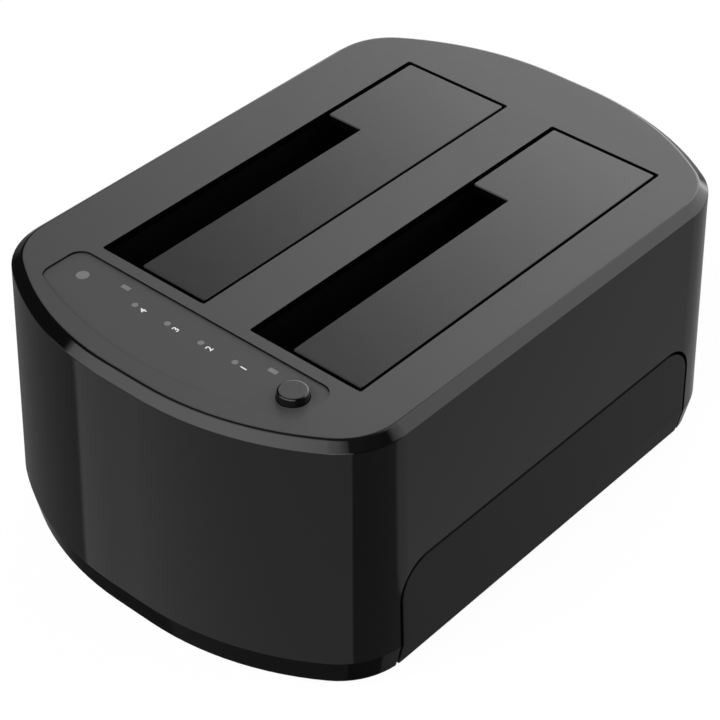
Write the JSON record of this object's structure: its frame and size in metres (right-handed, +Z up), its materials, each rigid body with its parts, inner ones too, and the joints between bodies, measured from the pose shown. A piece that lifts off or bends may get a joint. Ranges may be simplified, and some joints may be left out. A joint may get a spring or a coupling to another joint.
{
  "type": "hard drive docking station",
  "caption": "Desktop dock with rounded ends that holds hard drives upright in bays under spring flaps, with an indicator row and clone button in the top and sockets in the rear",
  "frame": {"origin": "middle of the underside, on the surface that the feet stand on", "axes": "+Z up, -Y towards the indicator row at the front, +Y towards the sockets at the rear, +X to the right-hand long side"},
  "size_m": [0.1116, 0.1596, 0.0684],
  "materials": {
    "shell_black": "injection moulded, satin top and glossy walls",
    "flap_black": "fine satin moulding",
    "guide_black": "plain moulding",
    "panel_black": "satin panel",
    "light_window": "smoky translucent window",
    "button_black": "polished moulding",
    "rubber_black": "moulded rubber",
    "steel": "zinc-plated steel",
    "spring_steel": "drawn spring wire",
    "board_green": "glass-fibre board with solder mask",
    "part_black": "moulded component body",
    "contact_gold": "gold-plated contact",
    "core_blue": "moulded socket core",
    "cable_white": "laminated flat cable",
    "cable_socket": "moulded cable socket",
    "can_aluminium": "sleeved aluminium can",
    "led_clear": "clear moulded light"
  },
  "bodies": {
    "dock": {"base_cover": "shell_black", "bridge_chips": "part_black", "cable_sockets": "cable_socket", "capacitors": "can_aluminium", "case_screws": "steel", "clone_switch": "part_black", "drive_connector_left": "part_black", "drive_connector_right": "part_black", "drive_contacts_left": "contact_gold", "drive_contacts_right": "contact_gold", "drive_guide_left": "guide_black", "drive_guide_right": "guide_black", "flap_spring_left": "spring_steel", "flap_spring_right": "spring_steel", "flat_cable": "cable_white", "guide_screws": "steel", "hinge_pin_left": "steel", "hinge_pin_right": "steel", "indicator_board": "board_green", "indicator_leds": "led_clear", "indicator_panel": "panel_black", "main_board": "board_green", "main_board_screws": "steel", "panel_board_screws": "steel", "power_jack": "part_black", "power_jack_pin": "contact_gold", "power_light": "light_window", "power_switch": "part_black", "progress_light_1": "light_window", "progress_light_2": "light_window", "progress_light_3": "light_window", "progress_light_4": "light_window", "regulator_coils": "part_black", "rubber_foot_front_left": "rubber_black", "rubber_foot_front_right": "rubber_black", "rubber_foot_rear_left": "rubber_black", "rubber_foot_rear_right": "rubber_black", "source_light": "light_window", "target_light": "light_window", "top_housing": "shell_black", "usb_socket_core": "core_blue", "usb_socket_shell": "steel"},
    "flap_left": {"flap_left": "flap_black"},
    "flap_right": {"flap_right": "flap_black"},
    "clone_button": {"clone_button": "button_black", "clone_switch_plunger": "part_black"},
    "power_button": {"power_button": "button_black"}
  },
  "joints": [
    {"name": "flap_left_hinge", "type": "hinge", "parent": "dock", "child": "flap_left", "pos_m": [-0.0066, 0.00405, 0.0647], "axis": [0, -1, 0], "range_deg": [0, 90], "stiffness_Nm_per_rad": 0.004, "springref_deg": -57.3, "deforming": ["flap_spring_left"]},
    {"name": "flap_right_hinge", "type": "hinge", "parent": "dock", "child": "flap_right", "pos_m": [0.0377, 0.00405, 0.0647], "axis": [0, -1, 0], "range_deg": [0, 90], "stiffness_Nm_per_rad": 0.004, "springref_deg": -57.3, "deforming": ["flap_spring_right"]},
    {"name": "clone_button_press", "type": "slide", "parent": "dock", "child": "clone_button", "axis": [0, 0, -1], "range_m": [0, 0.0005], "stiffness_N_per_m": 2000, "springref_m": -0.0003},
    {"name": "power_button_press", "type": "slide", "parent": "dock", "child": "power_button", "axis": [0, -1, 0], "range_m": [0, 0.002], "stiffness_N_per_m": 800, "springref_m": -0.001}
  ]
}
